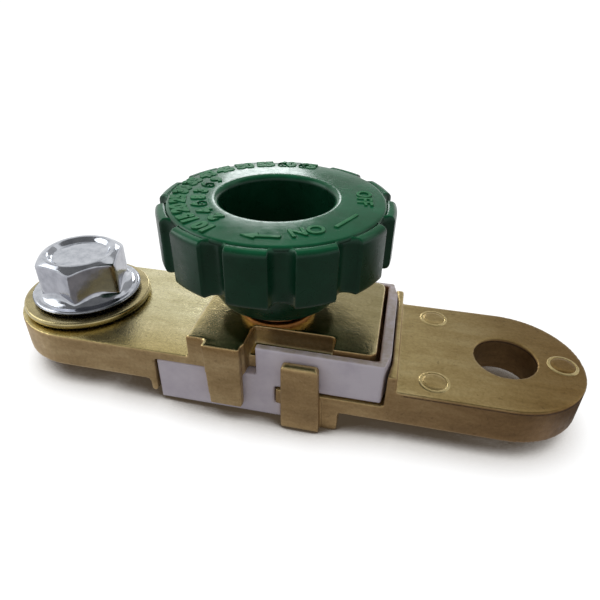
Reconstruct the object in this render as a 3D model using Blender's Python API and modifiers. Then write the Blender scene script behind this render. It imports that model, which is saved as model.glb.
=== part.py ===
"""Battery terminal disconnect switch.

Two cast brass bars overlap in the middle and are kept apart by a moulded nylon insulator.
The knob's threaded stud passes through the battery side bar, insulated from it, and screws
into the tongue of the cable side bar. Turned down, it presses a contact washer on the battery
side bar and closes the circuit; turned back, it lifts the washer clear.

Units are metres, +Z is up, and the switch stands on Z = 0. Every shape is drawn in
coordinates that start at the knob's axis: -X towards the battery, +X towards the cable.
"""
import bpy
import bmesh
from math import cos, pi, radians, sin, sqrt, tan
from mathutils import Vector

# Clearances
SEAT_GAP = 0.0003             # between two pieces that seat on each other
BORE_GAP = 0.0003             # round a shank or stud in its hole

# Reach of the switch from the knob's axis
BATTERY_REACH = 0.05309       # to the rounded end of the battery side bar
CABLE_REACH = 0.05629         # to the rounded end of the cable side bar
BATTERY_HOLE_INSET = 0.01269  # terminal bolt, from the rounded end
CABLE_HOLE_INSET = 0.01364    # cable hole, from the rounded end

# Cast bars
BAR_WIDTH = 0.0277
CAST_EDGE = 0.0004            # rounding of the cast edges
SIDE_SHARE = 0.45             # most of a short side that one rounded corner takes
CABLE_TAB_THICKNESS = 0.00702
BATTERY_TAB_THICKNESS = 0.00685
PLATE_THICKNESS = 0.0033      # cable side plate below the insulator
BRIDGE_THICKNESS = 0.0066     # raised part of the battery side bar
STEP_HEIGHT = 0.00475         # battery tab's top to the bridge's top
STEP_X = -0.0130              # step up from the tab to the bridge
BRIDGE_LENGTH = 0.0327        # step to the bridge's end
BRIDGE_CORNER = 0.0015        # rounding of the bridge's end corners

# Side claws: the battery side's hang down, the cable side's stand up
CLAW_THICKNESS = 0.0018
CLAW_INSET = 0.0001           # claws' inner faces stand inside the bars' sides
BATTERY_CLAW_X = -0.0097      # left edge at the top
BATTERY_CLAW_TOP_DROP = 0.0001
BATTERY_CLAW_TAPER = 0.0004   # left edge leans in down to the shoulder
BATTERY_CLAW_NARROWING = 0.0004
BATTERY_CLAW_LENGTH = 0.0133
CABLE_CLAW_WIDTH = 0.0064
CABLE_CLAW_TOP_DROP = 0.0027  # claw's top below the bridge's top
CLAW_BEVEL = 0.0005

# Side recess of the bridge
RECESS_X = -0.0025            # recess mouth's left edge
RECESS_DRAFT = 0.0002         # left wall leans in towards the back
RECESS_WIDTH = 0.0148
RECESS_DEPTH = 0.00565        # from the bar's side
RECESS_LEDGE = 0.0028         # ledge's height above the bridge's underside

# Lug under the battery tab, which stops the insulator
LUG_DEPTH = 0.0027
LUG_WIDTH = 0.0015
LUG_DRAFT = 0.0002             # each side, down to its end

# Rib and tongue under the cable side plate
RIB_X = 0.0042
RIB_LENGTH = 0.0100
RIB_DEPTH = 0.0043            # the switch stands on it
PLATE_LEAD = 0.0013           # plate past the rib towards the axis
TONGUE_REACH = 0.0085         # past the knob's axis
TONGUE_WIDTH = 0.0160
TONGUE_DEPTH = 0.0016         # below the plate's underside
RIDGE_LENGTH = 0.0016
RIDGE_HEIGHT = 0.0031

# Ejector marks on the cable tab
MARK_RADIUS = 0.0022
MARK_HEIGHT = 0.00025
MARK_INSET_X = 0.0080         # pair of marks from the tab's start
MARK_INSET_Y = 0.0042         # pair of marks from the bar's sides
END_MARK_INSET = 0.0038       # single mark from the rounded end

# Insulator
BLOCK_REACH = 0.0196          # block's end, from the knob's axis
BLOCK_DEPTH = 0.0034          # below the cable side bar's underside
FLOOR_THICKNESS = 0.0020
LIP_THICKNESS = 0.00135
LIP_X = -0.0007               # lips start
WALL_THICKNESS = 0.0019
WALL_DROP = 0.00075           # wall and lips below the bridge's top
WALL_SIDE_GAP = 0.0006        # bridge's end to the wall
WALL_CORNER_X = 0.0009        # wall's slanted corners
WALL_CORNER_Y = 0.0040
CORNER_GAP = 0.0006           # wall's corner to the cable tab
SLEEVE_WALL = 0.0009          # round the stud, through the bridge
MOULD_EDGE = 0.0002

# Holes
CABLE_HOLE_RADIUS = 0.00552

# Terminal bolt and its washer
BOLT_RADIUS = 0.0049
BOLT_ACROSS_FLATS = 0.0150
BOLT_HEAD_HEIGHT = 0.0080     # with its flange
BOLT_TURN = 46.6              # degrees, first corner of the head
FLANGE_RADIUS = 0.0104
FLANGE_EDGE = 0.0006
FLANGE_HEIGHT = 0.0022
HEAD_CHAMFER = 0.0016
HEAD_DISH = 0.0006
WASHER_RADIUS = 0.0123
WASHER_THICKNESS = 0.0022
WASHER_EDGE = 0.0008

# Stud and contact washer
STUD_RADIUS = 0.0040
STUD_POINT = 0.0008           # chamfer at its lower end
COLLAR_RADIUS = 0.0070
COLLAR_THICKNESS = 0.0014
COLLAR_CHAMFER = 0.0003
CONTACT_THICKNESS = 0.0009
CONTACT_CHAMFER = 0.0002
STUD_ACROSS_FLATS = 0.0110    # hexagon moulded in the knob
STUD_PROUD = 0.0012           # hexagon above the cup's floor

# Knob
KNOB_RADIUS = 0.0200          # over the lobes
FACE_RADIUS = 0.0184
FACE_EDGE = 0.0005
GROOVE_RADIUS = 0.0182        # between the lobes
CUP_RADIUS = 0.0097
CUP_MOUTH = 0.0012            # rounding of the cup's mouth
CUP_FLOOR = 0.0046            # above the hub's underside
CUP_CORNER = 0.0010
HUB_RADIUS = 0.0110
HUB_TOP_RADIUS = 0.0148       # where the hub meets the lobes
HUB_HEIGHT = 0.0082           # up to the lobes
HUB_EDGE = 0.0006
HUB_BULGE = 1.3               # 1 is a plain cone, more bulges
LOBE_HEIGHT = 0.0093
LOBE_COUNT = 12
LOBE_SHARE = 0.62             # part of the pitch that a lobe takes
LOBE_TURN = 1.0               # degrees, first lobe
LOBE_EDGE = 0.0006
FACE_RISE = 0.00075           # face above the lobes

# Heights, from the rib up
CABLE_Z = RIB_DEPTH
PLATE_TOP = CABLE_Z + PLATE_THICKNESS
CABLE_TAB_TOP = CABLE_Z + CABLE_TAB_THICKNESS
RIDGE_TOP = CABLE_TAB_TOP + RIDGE_HEIGHT
FLOOR_Z = PLATE_TOP + SEAT_GAP
FLOOR_TOP = FLOOR_Z + FLOOR_THICKNESS
BRIDGE_Z = FLOOR_TOP + SEAT_GAP
BRIDGE_TOP = BRIDGE_Z + BRIDGE_THICKNESS
BATTERY_TAB_TOP = BRIDGE_TOP - STEP_HEIGHT
BATTERY_TAB_Z = BATTERY_TAB_TOP - BATTERY_TAB_THICKNESS
BLOCK_Z = CABLE_Z - BLOCK_DEPTH
WALL_TOP = BRIDGE_TOP - WALL_DROP
TONGUE_Z = CABLE_Z - TONGUE_DEPTH
WASHER_Z = BATTERY_TAB_TOP + SEAT_GAP
BOLT_HEAD_Z = WASHER_Z + WASHER_THICKNESS + SEAT_GAP
CONTACT_Z = BRIDGE_TOP + SEAT_GAP
COLLAR_Z = CONTACT_Z + CONTACT_THICKNESS + SEAT_GAP
HUB_Z = COLLAR_Z + COLLAR_THICKNESS + SEAT_GAP

# Places along X, from the knob's axis
BATTERY_HOLE_X = BATTERY_REACH - BATTERY_HOLE_INSET
CABLE_HOLE_X = CABLE_REACH - CABLE_HOLE_INSET
BRIDGE_END = STEP_X + BRIDGE_LENGTH
WALL_X = BRIDGE_END + WALL_SIDE_GAP
WALL_END = WALL_X + WALL_THICKNESS
CABLE_TAB_X = WALL_END - WALL_CORNER_X + CORNER_GAP
PLATE_X = RIB_X - PLATE_LEAD
RECESS_END = RECESS_X + RECESS_WIDTH

# Widths
HALF_WIDTH = BAR_WIDTH / 2
CLAW_INNER = HALF_WIDTH - CLAW_INSET
CLAW_OUTER = CLAW_INNER + CLAW_THICKNESS
INSULATOR_HALF = CLAW_INNER - SEAT_GAP
CHANNEL_HALF = INSULATOR_HALF - LIP_THICKNESS
BRIDGE_HALF = CHANNEL_HALF - SEAT_GAP
SLEEVE_BORE = STUD_RADIUS + BORE_GAP
SLEEVE_RADIUS = SLEEVE_BORE + SLEEVE_WALL

ROUND_STEPS = 48
KNOB_STEPS = 72
GRIP_STEPS = 120
OVERCUT = 0.0010              # cutters run past the faces they open

# The knob's axis, with the switch's length centred on the origin
AXIS_X = (BATTERY_REACH - CABLE_REACH) / 2

BRASS_CAST = ("cast_brass", (0.50, 0.40, 0.20), 0.45, 1.0)
BRASS_TURNED = ("turned_brass", (0.62, 0.47, 0.20), 0.25, 1.0)
BRASS_WASHER = ("washer_brass", (0.55, 0.42, 0.14), 0.22, 1.0)
COPPER = ("contact_copper", (0.66, 0.34, 0.20), 0.30, 1.0)
NYLON = ("white_nylon", (0.72, 0.70, 0.72), 0.45, 0.0)
GREEN_PLASTIC = ("green_plastic", (0.010, 0.115, 0.050), 0.25, 0.0)
CHROME = ("bright_zinc", (0.75, 0.78, 0.82), 0.12, 1.0)


def clear_scene():
    for item in list(bpy.data.objects):
        bpy.data.objects.remove(item, do_unlink=True)


def new_collection(name):
    collection = bpy.data.collections.new(name)
    bpy.context.scene.collection.children.link(collection)
    return collection


def material(finish):
    name, colour, roughness, metallic = finish
    made = bpy.data.materials.get(name)
    if made is None:
        made = bpy.data.materials.new(name)
        made.use_nodes = True
        shader = made.node_tree.nodes["Principled BSDF"]
        shader.inputs["Base Color"].default_value = (*colour, 1.0)
        shader.inputs["Roughness"].default_value = roughness
        shader.inputs["Metallic"].default_value = metallic
    return made


def arc(centre_x, centre_y, radius, start, end, steps):
    """Points on an arc, angles in degrees."""
    points = []
    for step in range(steps + 1):
        angle = radians(start + (end - start) * step / steps)
        points.append((centre_x + radius * cos(angle), centre_y + radius * sin(angle)))
    return points


def place(item, name, location=(0.0, 0.0, 0.0)):
    """Name an object, stand it at the knob's axis and keep it in the cutters until it is kept."""
    item.name = name
    item.data.name = name
    item.parent = axis_empty
    item.location = location
    for collection in list(item.users_collection):
        collection.objects.unlink(item)
    cutters.objects.link(item)
    item.hide_render = True
    item.display_type = "WIRE"
    return item


def keep(item, finish, round_piece=False):
    """Move an object from the cutters to the switch and give it its material."""
    cutters.objects.unlink(item)
    switch.objects.link(item)
    item.hide_render = False
    item.display_type = "TEXTURED"
    item.data.materials.clear()
    item.data.materials.append(material(finish))
    if round_piece:
        item.data.shade_smooth()
    return item


def outline_solid(name, points, low, high, plane="XY"):
    """A flat outline given a thickness from low to high across its plane."""
    curve = bpy.data.curves.new(name, "CURVE")
    curve.dimensions = "2D"
    curve.fill_mode = "BOTH"
    curve.extrude = (high - low) / 2
    spline = curve.splines.new("POLY")
    spline.points.add(len(points) - 1)
    for spline_point, (u, v) in zip(spline.points, points):
        spline_point.co = (u, v, 0.0, 1.0)
    spline.use_cyclic_u = True
    spline.use_smooth = False
    drawn = bpy.data.objects.new(name, curve)
    bpy.context.scene.collection.objects.link(drawn)
    middle = (low + high) / 2
    if plane == "XY":
        drawn.location = (0.0, 0.0, middle)
    elif plane == "XZ":
        drawn.rotation_euler = (pi / 2, 0.0, 0.0)
        drawn.location = (0.0, middle, 0.0)
    else:
        drawn.rotation_euler = (pi / 2, 0.0, pi / 2)
        drawn.location = (middle, 0.0, 0.0)
    bpy.context.view_layer.update()
    evaluated = drawn.evaluated_get(bpy.context.evaluated_depsgraph_get())
    mesh = bpy.data.meshes.new_from_object(evaluated)
    mesh.transform(drawn.matrix_world)
    shape = bmesh.new()
    shape.from_mesh(mesh)
    bmesh.ops.remove_doubles(shape, verts=shape.verts, dist=0.000001)
    bmesh.ops.recalc_face_normals(shape, faces=shape.faces)
    shape.to_mesh(mesh)
    shape.free()
    bpy.data.objects.remove(drawn, do_unlink=True)
    return place(bpy.data.objects.new(name, mesh), name)


def box(name, x_range, y_range, z_range):
    bpy.ops.mesh.primitive_cube_add(size=1.0)
    item = bpy.context.active_object
    sizes = [high - low for low, high in (x_range, y_range, z_range)]
    middles = [(high + low) / 2 for low, high in (x_range, y_range, z_range)]
    for vertex in item.data.vertices:
        for axis in range(3):
            vertex.co[axis] = vertex.co[axis] * sizes[axis] + middles[axis]
    return place(item, name)


def cylinder(name, x, radius, low, high, y=0.0, steps=ROUND_STEPS):
    bpy.ops.mesh.primitive_cylinder_add(vertices=steps, radius=radius, depth=high - low)
    return place(bpy.context.active_object, name, (x, y, (low + high) / 2))


def turned(name, profile, location, steps=ROUND_STEPS):
    """A profile of (radius, height) points, from its top round its outer side, turned on Z."""
    mesh = bpy.data.meshes.new(name)
    item = bpy.data.objects.new(name, mesh)
    shape = bmesh.new()
    corners = [shape.verts.new((radius, 0.0, height)) for radius, height in profile]
    for first, second in zip(corners, corners[1:]):
        shape.edges.new((first, second))
    if profile[0][0] > 0.0:
        shape.edges.new((corners[-1], corners[0]))
    shape.to_mesh(mesh)
    shape.free()
    screw = item.modifiers.new("turn", "SCREW")
    screw.steps = steps
    screw.render_steps = steps
    screw.use_merge_vertices = True
    screw.merge_threshold = 0.000001
    screw.use_smooth_shade = True
    return place(item, name, location)


def prism(name, x, across_flats, low, high, turn=0.0):
    """A hexagonal prism whose first corner is turned by some degrees from +X."""
    radius = across_flats / 2 / cos(pi / 6)
    corners = arc(0.0, 0.0, radius, turn, turn + 300.0, 5)
    item = outline_solid(name, corners, low, high)
    item.location = (x, 0.0, 0.0)
    return item


def combine(item, other, operation):
    """Cut, join or intersect item with another object, which stays as its cutter."""
    boolean = item.modifiers.new(other.name, "BOOLEAN")
    boolean.operation = operation
    boolean.solver = "EXACT"
    boolean.object = other
    return item


def soften(points, radius, steps=3):
    """An outline with each corner rounded, or less where its sides are short."""
    rounded = []
    count = len(points)
    for index, point in enumerate(points):
        corner = Vector(point)
        before = Vector(points[index - 1]) - corner
        after = Vector(points[(index + 1) % count]) - corner
        half_angle = before.angle(after) / 2
        reach = min(radius / tan(half_angle), before.length * SIDE_SHARE, after.length * SIDE_SHARE)
        start = corner + before.normalized() * reach
        end = corner + after.normalized() * reach
        for step in range(steps + 1):
            share = step / steps
            first = start.lerp(corner, share)
            rounded.append(tuple(first.lerp(corner.lerp(end, share), share)))
    return rounded


def battery_claw(label, side):
    """A claw that hangs from the bridge: its left edge leans in all the way down."""
    left = BATTERY_CLAW_X
    right = RECESS_X - CAST_EDGE
    top = BRIDGE_TOP - BATTERY_CLAW_TOP_DROP
    bottom = top - BATTERY_CLAW_LENGTH
    shoulder = (top + bottom) / 2
    front_view = [
        (left, top),
        (left + BATTERY_CLAW_TAPER, shoulder),
        (left + BATTERY_CLAW_TAPER + BATTERY_CLAW_NARROWING, bottom),
        (right, bottom),
        (right, top),
    ]
    low, high = sorted((side * CLAW_INNER, side * CLAW_OUTER))
    return outline_solid(f"battery_claw_{label}", soften(front_view, CAST_EDGE), low, high, "XZ")


def battery_side_bar():
    lug_x = -BLOCK_REACH - SEAT_GAP
    section = [
        (-BATTERY_REACH, BATTERY_TAB_Z),
        (lug_x - LUG_WIDTH, BATTERY_TAB_Z),
        (lug_x - LUG_WIDTH + LUG_DRAFT, BATTERY_TAB_Z - LUG_DEPTH),
        (lug_x - LUG_DRAFT, BATTERY_TAB_Z - LUG_DEPTH),
        (lug_x, BRIDGE_Z),
        (BRIDGE_END, BRIDGE_Z),
        (BRIDGE_END, BRIDGE_TOP),
        (STEP_X, BRIDGE_TOP),
        (STEP_X, BATTERY_TAB_TOP),
        (-BATTERY_REACH, BATTERY_TAB_TOP),
    ]
    bar = outline_solid("battery_side_bar", soften(section, CAST_EDGE), -HALF_WIDTH, HALF_WIDTH, "XZ")
    corner = BRIDGE_CORNER
    plan = arc(-BATTERY_REACH + HALF_WIDTH, 0.0, HALF_WIDTH, 90.0, 270.0, 24)
    plan += [
        (RECESS_X, -HALF_WIDTH),
        (RECESS_X, -BRIDGE_HALF),
    ]
    plan += arc(BRIDGE_END - corner, -BRIDGE_HALF + corner, corner, -90.0, 0.0, 5)
    plan += arc(BRIDGE_END - corner, BRIDGE_HALF - corner, corner, 0.0, 90.0, 5)
    plan += [
        (RECESS_X, BRIDGE_HALF),
        (RECESS_X, HALF_WIDTH),
    ]
    combine(bar, outline_solid("battery_bar_plan", plan, 0.0, BRIDGE_TOP + OVERCUT), "INTERSECT")
    back = HALF_WIDTH - RECESS_DEPTH
    for side, label in ((-1, "front"), (1, "back")):
        combine(bar, battery_claw(label, side), "UNION")
        mouth = [
            (RECESS_X, side * (HALF_WIDTH + OVERCUT)),
            (RECESS_X + RECESS_DRAFT, side * back),
            (RECESS_END, side * back),
            (RECESS_END, side * (HALF_WIDTH + OVERCUT)),
        ]
        recess = outline_solid(f"recess_{label}", mouth, BRIDGE_Z + RECESS_LEDGE, BRIDGE_TOP + OVERCUT)
        combine(bar, recess, "DIFFERENCE")
    bolt_hole = cylinder("bolt_hole", -BATTERY_HOLE_X, BOLT_RADIUS + BORE_GAP, 0.0, BRIDGE_TOP)
    combine(bar, bolt_hole, "DIFFERENCE")
    stud_hole = cylinder("bridge_hole", 0.0, SLEEVE_RADIUS + BORE_GAP, BRIDGE_Z - OVERCUT,
                         BRIDGE_TOP + OVERCUT)
    combine(bar, stud_hole, "DIFFERENCE")
    return keep(bar, BRASS_CAST)


def cable_side_bar():
    section = [
        (-TONGUE_REACH, TONGUE_Z),
        (RIB_X, TONGUE_Z),
        (RIB_X, 0.0),
        (RIB_X + RIB_LENGTH, 0.0),
        (RIB_X + RIB_LENGTH, CABLE_Z),
        (CABLE_REACH, CABLE_Z),
        (CABLE_REACH, CABLE_TAB_TOP),
        (CABLE_TAB_X + RIDGE_LENGTH, CABLE_TAB_TOP),
        (CABLE_TAB_X + RIDGE_LENGTH, RIDGE_TOP),
        (CABLE_TAB_X, RIDGE_TOP),
        (CABLE_TAB_X, PLATE_TOP),
        (-TONGUE_REACH, PLATE_TOP),
    ]
    bar = outline_solid("cable_side_bar", soften(section, CAST_EDGE), -HALF_WIDTH, HALF_WIDTH, "XZ")
    tongue_half = TONGUE_WIDTH / 2
    plan = arc(CABLE_REACH - HALF_WIDTH, 0.0, HALF_WIDTH, -90.0, 90.0, 24)
    plan += [
        (PLATE_X, HALF_WIDTH),
        (PLATE_X, tongue_half),
        (-TONGUE_REACH, tongue_half),
        (-TONGUE_REACH, -tongue_half),
        (PLATE_X, -tongue_half),
        (PLATE_X, -HALF_WIDTH),
    ]
    combine(bar, outline_solid("cable_bar_plan", plan, -OVERCUT, RIDGE_TOP + OVERCUT), "INTERSECT")
    lead_relief = (RIB_X - PLATE_LEAD - OVERCUT, RIB_X)
    for side, label in ((-1, "front"), (1, "back")):
        low, high = sorted((side * tongue_half, side * (HALF_WIDTH + OVERCUT)))
        combine(bar, box(f"lead_relief_{label}", lead_relief, (low, high), (-OVERCUT, CABLE_Z)), "DIFFERENCE")
        top = BRIDGE_TOP - CABLE_CLAW_TOP_DROP
        claw_section = [
            (side * CLAW_INNER, CAST_EDGE),
            (side * CLAW_OUTER, CAST_EDGE),
            (side * CLAW_OUTER, top - CLAW_BEVEL),
            (side * (CLAW_OUTER - CLAW_BEVEL), top),
            (side * CLAW_INNER, top),
        ]
        claw = outline_solid(f"cable_claw_{label}", soften(claw_section, CAST_EDGE), RIB_X,
                             RIB_X + CABLE_CLAW_WIDTH, "YZ")
        combine(bar, claw, "UNION")
    nest_x = WALL_END + SEAT_GAP
    nest_y = INSULATOR_HALF - WALL_CORNER_Y
    slant = (nest_x - CABLE_TAB_X) / (HALF_WIDTH - nest_y)
    mouth_x = CABLE_TAB_X - slant * OVERCUT
    mouth_y = HALF_WIDTH + OVERCUT
    nest = [
        (CABLE_TAB_X - OVERCUT, -mouth_y),
        (mouth_x, -mouth_y),
        (nest_x, -nest_y),
        (nest_x, nest_y),
        (mouth_x, mouth_y),
        (CABLE_TAB_X - OVERCUT, mouth_y),
    ]
    combine(bar, outline_solid("wall_nest", nest, PLATE_TOP, RIDGE_TOP + OVERCUT), "DIFFERENCE")
    cable_hole = cylinder("cable_hole", CABLE_HOLE_X, CABLE_HOLE_RADIUS, 0.0, RIDGE_TOP)
    combine(bar, cable_hole, "DIFFERENCE")
    tapped_hole = cylinder("tapped_hole", 0.0, STUD_RADIUS + BORE_GAP, TONGUE_Z - OVERCUT,
                           PLATE_TOP + OVERCUT)
    combine(bar, tapped_hole, "DIFFERENCE")
    pair_x = CABLE_TAB_X + MARK_INSET_X
    pair_y = HALF_WIDTH - MARK_INSET_Y
    spots = [(pair_x, pair_y), (pair_x, -pair_y), (CABLE_REACH - END_MARK_INSET, 0.0)]
    for number, (x, y) in enumerate(spots, 1):
        slope = 2 * MARK_HEIGHT
        profile = [
            (0.0, MARK_HEIGHT),
            (MARK_RADIUS - slope, MARK_HEIGHT),
            (MARK_RADIUS + slope, -MARK_HEIGHT),
            (0.0, -MARK_HEIGHT),
        ]
        mark = turned(f"ejector_mark_{number}", profile, (x, y, CABLE_TAB_TOP), 24)
        combine(bar, mark, "UNION")
    return keep(bar, BRASS_CAST)


def insulator():
    slot_low = CABLE_Z - SEAT_GAP
    block_end = RIB_X - SEAT_GAP
    slot_x = PLATE_X - SEAT_GAP
    section = [
        (-BLOCK_REACH, BLOCK_Z),
        (block_end, BLOCK_Z),
        (block_end, slot_low),
        (slot_x, slot_low),
        (slot_x, FLOOR_Z),
        (WALL_END, FLOOR_Z),
        (WALL_END, WALL_TOP),
        (LIP_X, WALL_TOP),
        (LIP_X, FLOOR_TOP),
        (-BLOCK_REACH, FLOOR_TOP),
    ]
    body = outline_solid("insulator", soften(section, MOULD_EDGE), -INSULATOR_HALF, INSULATOR_HALF, "XZ")
    plan = [
        (-BLOCK_REACH - OVERCUT, -INSULATOR_HALF),
        (WALL_END - WALL_CORNER_X, -INSULATOR_HALF),
        (WALL_END, -INSULATOR_HALF + WALL_CORNER_Y),
        (WALL_END, INSULATOR_HALF - WALL_CORNER_Y),
        (WALL_END - WALL_CORNER_X, INSULATOR_HALF),
        (-BLOCK_REACH - OVERCUT, INSULATOR_HALF),
    ]
    combine(body, outline_solid("insulator_plan", plan, 0.0, WALL_TOP + OVERCUT), "INTERSECT")
    channel = box("bridge_channel", (LIP_X - MOULD_EDGE, WALL_X), (-CHANNEL_HALF, CHANNEL_HALF),
                  (FLOOR_TOP, WALL_TOP + OVERCUT))
    combine(body, channel, "DIFFERENCE")
    pocket_half = TONGUE_WIDTH / 2 + SEAT_GAP
    pocket = box("tongue_pocket", (-TONGUE_REACH - SEAT_GAP, block_end + OVERCUT),
                 (-pocket_half, pocket_half), (TONGUE_Z - SEAT_GAP, FLOOR_Z))
    combine(body, pocket, "DIFFERENCE")
    sleeve = cylinder("stud_sleeve", 0.0, SLEEVE_RADIUS, FLOOR_Z + FLOOR_THICKNESS / 2,
                      BRIDGE_TOP - SEAT_GAP)
    combine(body, sleeve, "UNION")
    bore = cylinder("sleeve_bore", 0.0, SLEEVE_BORE, FLOOR_Z - OVERCUT / 2, BRIDGE_TOP + OVERCUT)
    combine(body, bore, "DIFFERENCE")
    return keep(body, NYLON)


def terminal_bolt():
    shank = [
        (0.0, BOLT_HEAD_Z + FLANGE_HEIGHT),
        (BOLT_RADIUS, BOLT_HEAD_Z + FLANGE_HEIGHT),
    ]
    shank += arc(FLANGE_RADIUS - FLANGE_EDGE, BOLT_HEAD_Z + FLANGE_EDGE, FLANGE_EDGE, 60.0, -90.0, 5)
    shank += [
        (BOLT_RADIUS, BOLT_HEAD_Z),
        (BOLT_RADIUS, STUD_POINT),
        (BOLT_RADIUS - STUD_POINT, 0.0),
        (0.0, 0.0),
    ]
    bolt = turned("terminal_bolt", shank, (-BATTERY_HOLE_X, 0.0, 0.0))
    head_top = BOLT_HEAD_Z + BOLT_HEAD_HEIGHT
    head = prism("bolt_hexagon", -BATTERY_HOLE_X, BOLT_ACROSS_FLATS, BOLT_HEAD_Z + FLANGE_EDGE,
                 head_top, BOLT_TURN)
    across_corners = BOLT_ACROSS_FLATS / cos(pi / 6)
    inner = BOLT_ACROSS_FLATS / 2 - HEAD_CHAMFER / 2
    envelope = [
        (0.0, head_top - HEAD_DISH),
        (inner - HEAD_CHAMFER, head_top - HEAD_DISH),
        (inner - HEAD_CHAMFER / 2, head_top),
        (inner, head_top),
        (across_corners / 2 + OVERCUT, head_top - HEAD_CHAMFER),
        (across_corners / 2 + OVERCUT, BOLT_HEAD_Z),
        (0.0, BOLT_HEAD_Z),
    ]
    combine(head, turned("head_envelope", envelope, (-BATTERY_HOLE_X, 0.0, 0.0)), "INTERSECT")
    combine(bolt, head, "UNION")
    return keep(bolt, CHROME, round_piece=True)


def terminal_washer():
    inner = BOLT_RADIUS + BORE_GAP
    top = WASHER_Z + WASHER_THICKNESS
    edge = WASHER_EDGE
    profile = [(inner, top)]
    profile += arc(WASHER_RADIUS - edge, top - edge, edge, 90.0, 0.0, 4)
    profile += arc(WASHER_RADIUS - edge, WASHER_Z + edge, edge, 0.0, -90.0, 4)
    profile += [(inner, WASHER_Z)]
    washer = turned("terminal_washer", profile, (-BATTERY_HOLE_X, 0.0, 0.0))
    return keep(washer, BRASS_WASHER, round_piece=True)


def contact_washer():
    top = CONTACT_THICKNESS
    inner = STUD_RADIUS + BORE_GAP
    profile = [
        (inner, top),
        (COLLAR_RADIUS - CONTACT_CHAMFER, top),
        (COLLAR_RADIUS, top - CONTACT_CHAMFER),
        (COLLAR_RADIUS, CONTACT_CHAMFER),
        (COLLAR_RADIUS - CONTACT_CHAMFER, 0.0),
        (inner, 0.0),
    ]
    washer = turned("contact_washer", profile, (0.0, 0.0, CONTACT_Z))
    return keep(washer, COPPER, round_piece=True)


def knob_stud():
    """Modelled from the collar's underside, which is its origin."""
    end = TONGUE_Z + SEAT_GAP - COLLAR_Z
    profile = [
        (0.0, COLLAR_THICKNESS),
        (COLLAR_RADIUS - COLLAR_CHAMFER, COLLAR_THICKNESS),
        (COLLAR_RADIUS, COLLAR_THICKNESS - COLLAR_CHAMFER),
        (COLLAR_RADIUS, COLLAR_CHAMFER),
        (COLLAR_RADIUS - COLLAR_CHAMFER, 0.0),
        (STUD_RADIUS, 0.0),
        (STUD_RADIUS, end + STUD_POINT),
        (STUD_RADIUS - STUD_POINT, end),
        (0.0, end),
    ]
    stud = turned("knob_stud", profile, (0.0, 0.0, COLLAR_Z))
    hexagon_top = HUB_Z + CUP_FLOOR + STUD_PROUD
    hexagon = prism("stud_hexagon", 0.0, STUD_ACROSS_FLATS, COLLAR_Z + COLLAR_THICKNESS / 2, hexagon_top)
    combine(stud, hexagon, "UNION")
    return keep(stud, BRASS_TURNED, round_piece=True)


def lobe_outline():
    """Plan of the grip: broad lobes, which the grip's envelope trims, and rounded grooves."""
    points = []
    pitch = 360.0 / LOBE_COUNT
    groove_steps = 8
    groove_share = 1.0 - LOBE_SHARE
    crest = KNOB_RADIUS + OVERCUT / 2
    for lobe in range(LOBE_COUNT):
        for step in range(groove_steps + 1):
            across = 2.0 * step / groove_steps - 1.0
            radius = crest - (crest - GROOVE_RADIUS) * sqrt(1.0 - across ** 2)
            angle = radians(LOBE_TURN + (lobe + 0.5 + groove_share * across / 2) * pitch)
            points.append((radius * cos(angle), radius * sin(angle)))
    return points


def knob():
    """Modelled from the hub's underside, which is its origin."""
    lobe_low = HUB_HEIGHT
    lobe_top = lobe_low + LOBE_HEIGHT
    face = lobe_top + FACE_RISE
    core = GROOVE_RADIUS - LOBE_EDGE
    profile = [
        (0.0, CUP_FLOOR),
        (CUP_RADIUS - CUP_CORNER, CUP_FLOOR),
        (CUP_RADIUS, CUP_FLOOR + CUP_CORNER),
    ]
    profile += arc(CUP_RADIUS + CUP_MOUTH, face - CUP_MOUTH, CUP_MOUTH, 180.0, 90.0, 6)
    profile += arc(FACE_RADIUS - FACE_EDGE, face - FACE_EDGE, FACE_EDGE, 90.0, 0.0, 3)
    profile += [
        (FACE_RADIUS, lobe_top - LOBE_EDGE / 4),
        (core, lobe_top - LOBE_EDGE),
        (core, lobe_low + LOBE_EDGE),
        (HUB_TOP_RADIUS, lobe_low + LOBE_EDGE),
    ]
    bulge_steps = 6
    for step in range(bulge_steps + 1):
        share = step / bulge_steps
        radius = HUB_TOP_RADIUS + (HUB_RADIUS - HUB_TOP_RADIUS) * share ** HUB_BULGE
        profile.append((radius, lobe_low + (HUB_EDGE - lobe_low) * share))
    profile += [
        (HUB_RADIUS - HUB_EDGE, 0.0),
        (0.0, 0.0),
    ]
    body = turned("knob", profile, (0.0, 0.0, HUB_Z), KNOB_STEPS)
    grip = outline_solid("grip_lobes", lobe_outline(), lobe_low - OVERCUT, lobe_top + OVERCUT)
    grip.location = (0.0, 0.0, HUB_Z)
    inner = (CUP_RADIUS + FACE_RADIUS) / 2
    envelope = [(inner, lobe_top)]
    envelope += arc(KNOB_RADIUS - LOBE_EDGE, lobe_top - LOBE_EDGE, LOBE_EDGE, 90.0, 0.0, 4)
    envelope += arc(KNOB_RADIUS - LOBE_EDGE, lobe_low + LOBE_EDGE, LOBE_EDGE, 0.0, -90.0, 4)
    envelope += [(inner, lobe_low)]
    combine(grip, turned("grip_envelope", envelope, (0.0, 0.0, HUB_Z), GRIP_STEPS), "INTERSECT")
    combine(body, grip, "UNION")
    hexagon = prism("knob_hexagon", 0.0, STUD_ACROSS_FLATS + 2 * SEAT_GAP, HUB_Z - OVERCUT,
                    HUB_Z + CUP_FLOOR + OVERCUT)
    combine(body, hexagon, "DIFFERENCE")
    return keep(body, GREEN_PLASTIC, round_piece=True)


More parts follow.
